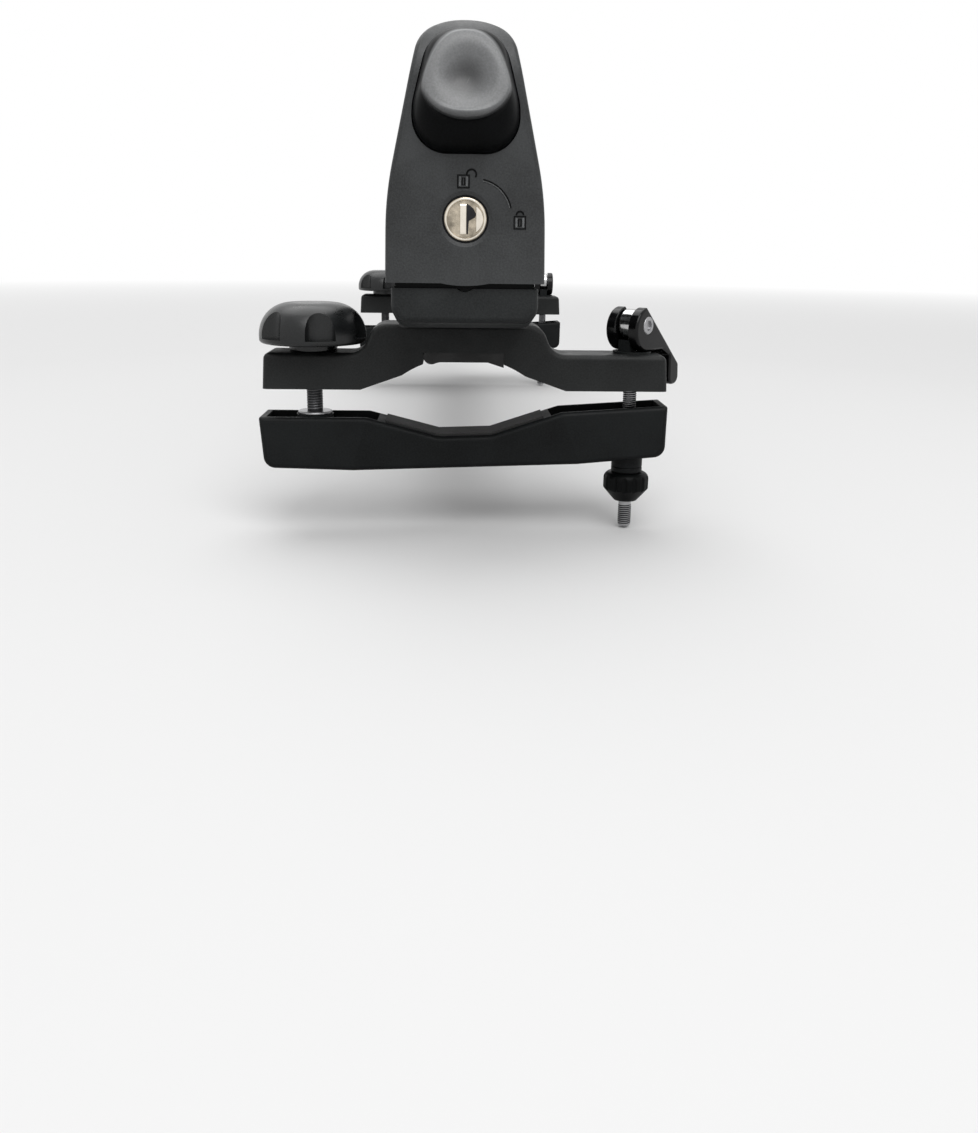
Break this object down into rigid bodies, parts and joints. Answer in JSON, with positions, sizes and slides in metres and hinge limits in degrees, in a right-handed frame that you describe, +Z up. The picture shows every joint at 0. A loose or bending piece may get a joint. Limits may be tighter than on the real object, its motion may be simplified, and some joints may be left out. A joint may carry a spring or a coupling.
{
  "type": "roof ski carrier",
  "caption": "Hinged, lockable two-jaw ski carrier with rubber-lined jaws and a push-button latch, on two clamp brackets that grip a roof bar.",
  "frame": {"origin": "on the line where the roof bar's top runs under the carrier: midway between the two brackets, under the middle of the jaws, at the height of the brackets' rubber seats", "axes": "+Y along the carrier from the latch end to the hinge end, +X to the right seen from the latch end, towards the quick-release levers, +Z up"},
  "size_m": [0.1626, 0.5192, 0.1792],
  "materials": {
    "housing_plastic": "fine grained satin moulding",
    "base_plastic": "satin moulding",
    "button_plastic": "fine grained satin moulding",
    "bracket_plastic": "grained glass-filled moulding",
    "clamp_plastic": "grained glass-filled moulding",
    "knob_plastic": "smooth moulding with a soft shine",
    "lever_plastic": "smooth moulding",
    "nut_plastic": "satin moulding",
    "black_anodised": "satin black coated extrusion",
    "jaw_rubber": "matt extruded rubber",
    "black_steel": "black oxide",
    "zinc_steel": "bright zinc plate",
    "barrel_plastic": "smooth and glossy",
    "brass_insert": "turned brass",
    "lock_nickel": "satin nickel with a bright rim"
  },
  "bodies": {
    "carrier": {"lower_profile": "black_anodised", "lower_pad": "jaw_rubber", "base_end_cap": "base_plastic", "striker": "zinc_steel", "striker_screws": "zinc_steel", "profile_screws": "zinc_steel", "hinge_base": "base_plastic", "hinge_pin": "black_steel", "hinge_clip": "zinc_steel", "bracket_screws": "zinc_steel", "bracket_t_plates": "zinc_steel", "front_bracket": "bracket_plastic", "front_bracket_pad": "jaw_rubber", "front_saddle_washer": "clamp_plastic", "rear_bracket": "bracket_plastic", "rear_bracket_pad": "jaw_rubber", "rear_saddle_washer": "clamp_plastic"},
    "upper_jaw": {"upper_profile": "black_anodised", "upper_pad": "jaw_rubber", "latch_cover": "housing_plastic", "hinge_arm": "housing_plastic", "jaw_screws": "zinc_steel", "lock_housing": "lock_nickel", "hook_pin": "zinc_steel", "hook_spring": "zinc_steel"},
    "button": {"push_button": "button_plastic"},
    "hook": {"latch_hook": "zinc_steel"},
    "plug": {"lock_plug": "lock_nickel", "lock_cam": "zinc_steel"},
    "front_clamp": {"front_clamp_bar": "clamp_plastic", "front_clamp_pad": "jaw_rubber", "front_clamp_bolt": "black_steel", "front_bolt_washer": "zinc_steel"},
    "front_hand_knob": {"front_knob": "knob_plastic", "front_knob_insert": "brass_insert"},
    "front_rod": {"front_quick_rod": "zinc_steel", "front_rod_barrel": "barrel_plastic", "front_lever_pin": "zinc_steel"},
    "front_lever": {"front_quick_lever": "lever_plastic"},
    "front_washer": {"front_thrust_washer": "clamp_plastic"},
    "front_nut": {"front_quick_nut": "nut_plastic"},
    "rear_clamp": {"rear_clamp_bar": "clamp_plastic", "rear_clamp_pad": "jaw_rubber", "rear_clamp_bolt": "black_steel", "rear_bolt_washer": "zinc_steel"},
    "rear_hand_knob": {"rear_knob": "knob_plastic", "rear_knob_insert": "brass_insert"},
    "rear_rod": {"rear_quick_rod": "zinc_steel", "rear_rod_barrel": "barrel_plastic", "rear_lever_pin": "zinc_steel"},
    "rear_lever": {"rear_quick_lever": "lever_plastic"},
    "rear_washer": {"rear_thrust_washer": "clamp_plastic"},
    "rear_nut": {"rear_quick_nut": "nut_plastic"}
  },
  "joints": [
    {"name": "jaw_hinge", "type": "hinge", "parent": "carrier", "child": "upper_jaw", "pos_m": [0, 0.246, 0.058], "axis": [-1, 0, 0], "range_deg": [0, 75]},
    {"name": "button_push", "type": "slide", "parent": "upper_jaw", "child": "button", "axis": [0, 1, 0], "range_m": [0, 0.005], "stiffness_N_per_m": 800, "springref_m": -0.004},
    {"name": "hook_turn", "type": "hinge", "parent": "upper_jaw", "child": "hook", "pos_m": [0, -0.219, 0.068], "axis": [-1, 0, 0], "range_deg": [0, 11.3], "deforming": ["hook_spring"]},
    {"name": "lock_turn", "type": "hinge", "parent": "upper_jaw", "child": "plug", "pos_m": [0, -0.235, 0.0509], "axis": [0, -1, 0], "range_deg": [-90, 0]},
    {"name": "front_knob_turn", "type": "hinge", "parent": "carrier", "child": "front_hand_knob", "pos_m": [-0.0568, -0.2, 0.012], "axis": [0, 0, 1], "range_deg": [0, 3600]},
    {"name": "front_clamp_slide", "type": "slide", "parent": "carrier", "child": "front_clamp", "axis": [0, 0, -1], "range_m": [0, 0.01]},
    {"name": "front_rod_slide", "type": "slide", "parent": "carrier", "child": "front_rod", "axis": [0, 0, -1], "range_m": [0, 0.0012]},
    {"name": "front_lever_turn", "type": "hinge", "parent": "front_rod", "child": "front_lever", "pos_m": [0.0645, -0.2, 0.0138], "axis": [0.7431, -0.6691, 0], "range_deg": [0, 115]},
    {"name": "front_washer_slide", "type": "slide", "parent": "front_rod", "child": "front_washer", "axis": [0, 0, -1], "range_m": [0, 0.01]},
    {"name": "front_nut_turn", "type": "hinge", "parent": "front_washer", "child": "front_nut", "pos_m": [0.0645, -0.2, -0.048], "axis": [0, 0, -1], "range_deg": [0, 4500]},
    {"name": "rear_knob_turn", "type": "hinge", "parent": "carrier", "child": "rear_hand_knob", "pos_m": [-0.0568, 0.2, 0.012], "axis": [0, 0, 1], "range_deg": [0, 3600]},
    {"name": "rear_clamp_slide", "type": "slide", "parent": "carrier", "child": "rear_clamp", "axis": [0, 0, -1], "range_m": [0, 0.01]},
    {"name": "rear_rod_slide", "type": "slide", "parent": "carrier", "child": "rear_rod", "axis": [0, 0, -1], "range_m": [0, 0.0012]},
    {"name": "rear_lever_turn", "type": "hinge", "parent": "rear_rod", "child": "rear_lever", "pos_m": [0.0645, 0.2, 0.0138], "axis": [1, 0, 0], "range_deg": [0, 115]},
    {"name": "rear_washer_slide", "type": "slide", "parent": "rear_rod", "child": "rear_washer", "axis": [0, 0, -1], "range_m": [0, 0.01]},
    {"name": "rear_nut_turn", "type": "hinge", "parent": "rear_washer", "child": "rear_nut", "pos_m": [0.0645, 0.2, -0.048], "axis": [0, 0, -1], "range_deg": [0, 4500]}
  ],
  "couplings": [
    {"joint": "hook_turn", "follows": "button_push", "rad_per_m": 39.441},
    {"joint": "front_knob_turn", "follows": "front_clamp_slide", "rad_per_m": 6283.1},
    {"joint": "front_washer_slide", "follows": "front_clamp_slide", "ratio": 1},
    {"joint": "front_nut_turn", "follows": "front_clamp_slide", "rad_per_m": 7853.9},
    {"joint": "front_lever_turn", "follows": "front_rod_slide", "rad_per_m": 1672.6},
    {"joint": "rear_knob_turn", "follows": "rear_clamp_slide", "rad_per_m": 6283.1},
    {"joint": "rear_washer_slide", "follows": "rear_clamp_slide", "ratio": 1},
    {"joint": "rear_nut_turn", "follows": "rear_clamp_slide", "rad_per_m": 7853.9},
    {"joint": "rear_lever_turn", "follows": "rear_rod_slide", "rad_per_m": 1672.6}
  ]
}
